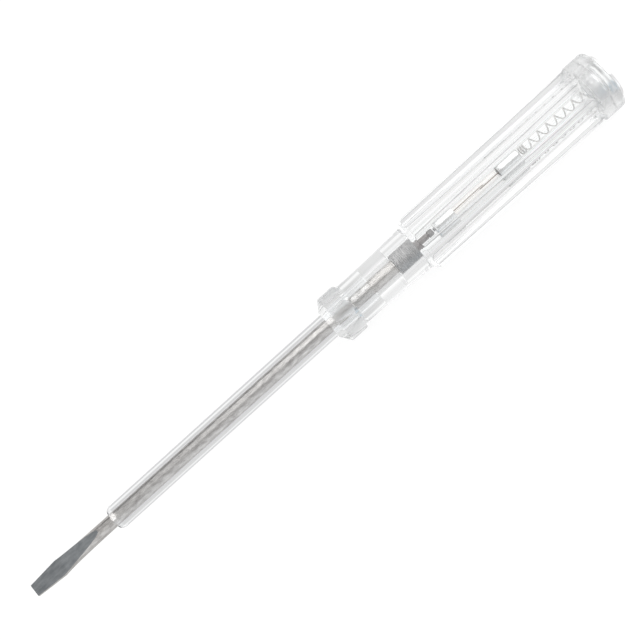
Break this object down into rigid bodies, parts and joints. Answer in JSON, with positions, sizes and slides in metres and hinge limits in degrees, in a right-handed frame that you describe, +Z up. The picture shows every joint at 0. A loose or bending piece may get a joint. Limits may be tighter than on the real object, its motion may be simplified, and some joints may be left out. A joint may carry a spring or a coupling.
{
  "type": "voltage tester screwdriver",
  "caption": "Slim screwdriver with a flat blade in a clear sleeve and a clear fluted handle that holds a resistor, a neon lamp, a spring and a metal contact plug.",
  "frame": {"origin": "under the middle of the tool's length, on the surface that the rear collar rests on, straight under the tool's axis", "axes": "+X along the tool from the blade to the contact plug, +Z up through the middle of a land between two flutes, with a flute at the bottom, +Y to the side"},
  "size_m": [0.14, 0.0124, 0.0124],
  "materials": {
    "clear_plastic": "clear moulded plastic, glossy",
    "sleeve_plastic": "clear extruded plastic, glossy",
    "blade_steel": "ground and dark oiled",
    "bush_steel": "dark, turned with fine rings",
    "resistor_lacquer": "dark brown lacquer",
    "resistor_cap_metal": "dull pressed cap",
    "lamp_clear_glass": "clear glass",
    "lamp_cap_metal": "bright plated cap",
    "electrode_metal": "brownish coated rod",
    "solder": "satin solder",
    "spring_steel": "drawn wire",
    "plug_nickel": "turned and nickel plated"
  },
  "bodies": {
    "handle": {"handle": "clear_plastic", "blade": "blade_steel", "insulating_sleeve": "sleeve_plastic", "shaft_bush": "bush_steel", "resistor_body": "resistor_lacquer", "resistor_front_cap": "resistor_cap_metal", "resistor_rear_cap": "resistor_cap_metal", "lamp_glass": "lamp_clear_glass", "lamp_front_cap": "lamp_cap_metal", "lamp_rear_cap": "lamp_cap_metal", "lamp_front_electrode": "electrode_metal", "lamp_rear_electrode": "electrode_metal", "lamp_front_solder": "solder", "lamp_rear_solder": "solder"},
    "spring": {"contact_spring": "spring_steel"},
    "plug": {"contact_plug": "plug_nickel"}
  },
  "joints": [
    {"name": "plug_travel", "type": "slide", "parent": "handle", "child": "spring", "axis": [1, 0, 0], "range_m": [0, 0.0015], "deforming": ["contact_spring"]},
    {"name": "plug_turn", "type": "hinge", "parent": "spring", "child": "plug", "pos_m": [0.06565, 0, 0.00619], "axis": [1, 0, 0], "range_deg": [0, 720]}
  ],
  "couplings": [
    {"joint": "plug_turn", "follows": "plug_travel", "rad_per_m": 8377.6}
  ]
}
